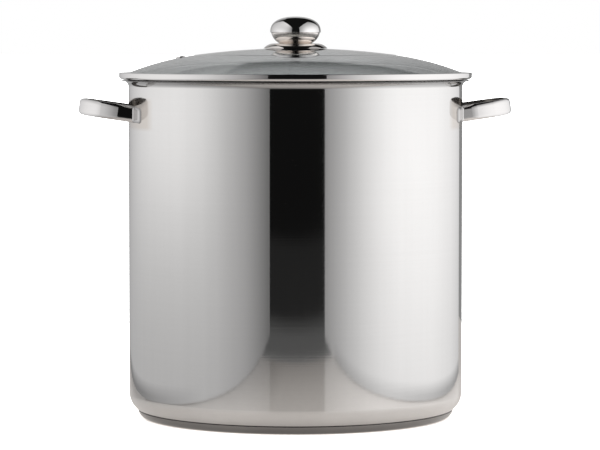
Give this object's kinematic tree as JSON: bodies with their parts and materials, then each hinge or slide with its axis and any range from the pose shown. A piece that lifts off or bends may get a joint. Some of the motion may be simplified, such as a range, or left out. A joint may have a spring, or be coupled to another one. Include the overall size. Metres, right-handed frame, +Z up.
{
  "type": "stock pot",
  "caption": "Tall straight-sided polished steel stock pot with a bonded thick base, strap side handles, and a domed steel-rimmed glass lid with a round knob and a steam vent.",
  "frame": {"origin": "centre of the underside of the base, on the surface the pot stands on", "axes": "+Z up along the pot's axis; X through the two handles, with the lid's steam vent on the -X side; Y across, between the handles"},
  "size_m": [0.4414, 0.3592, 0.4076],
  "materials": {
    "pot_steel": "polished stainless steel, faint upright polishing grain outside",
    "base_steel": "satin stainless steel cap, ground in circles underneath",
    "core_aluminium": "plain aluminium",
    "handle_steel": "bright polished stainless steel",
    "rim_steel": "bright polished stainless steel",
    "knob_steel": "mirror polished stainless steel",
    "vent_steel": "bright stainless steel",
    "fastener_steel": "plain stainless steel",
    "lid_glass": "clear tempered glass",
    "sealant": "matt grey silicone",
    "seal_silicone": "matt black silicone"
  },
  "bodies": {
    "pot": {"pot_shell": "pot_steel", "base_core": "core_aluminium", "base_cap": "base_steel", "right_handle": "handle_steel", "left_handle": "handle_steel"},
    "knob": {"knob_top_shell": "knob_steel", "knob_lower_cup": "knob_steel", "knob_boss": "fastener_steel", "knob_plate": "knob_steel", "upper_seal": "seal_silicone", "lower_seal": "seal_silicone", "under_washer": "fastener_steel", "spring_washer": "fastener_steel", "knob_screw": "fastener_steel"},
    "lid": {"lid_glass": "lid_glass", "lid_rim": "rim_steel", "rim_sealant": "sealant", "vent_eyelet": "vent_steel", "vent_ring": "vent_steel"}
  },
  "joints": [
    {"name": "lid_lift", "type": "slide", "parent": "pot", "child": "knob", "axis": [0, 0, 1], "range_m": [0, 0.2]},
    {"name": "lid_turn", "type": "hinge", "parent": "knob", "child": "lid", "pos_m": [0, 0, 0.3745], "axis": [0, 0, 1], "continuous": true}
  ]
}
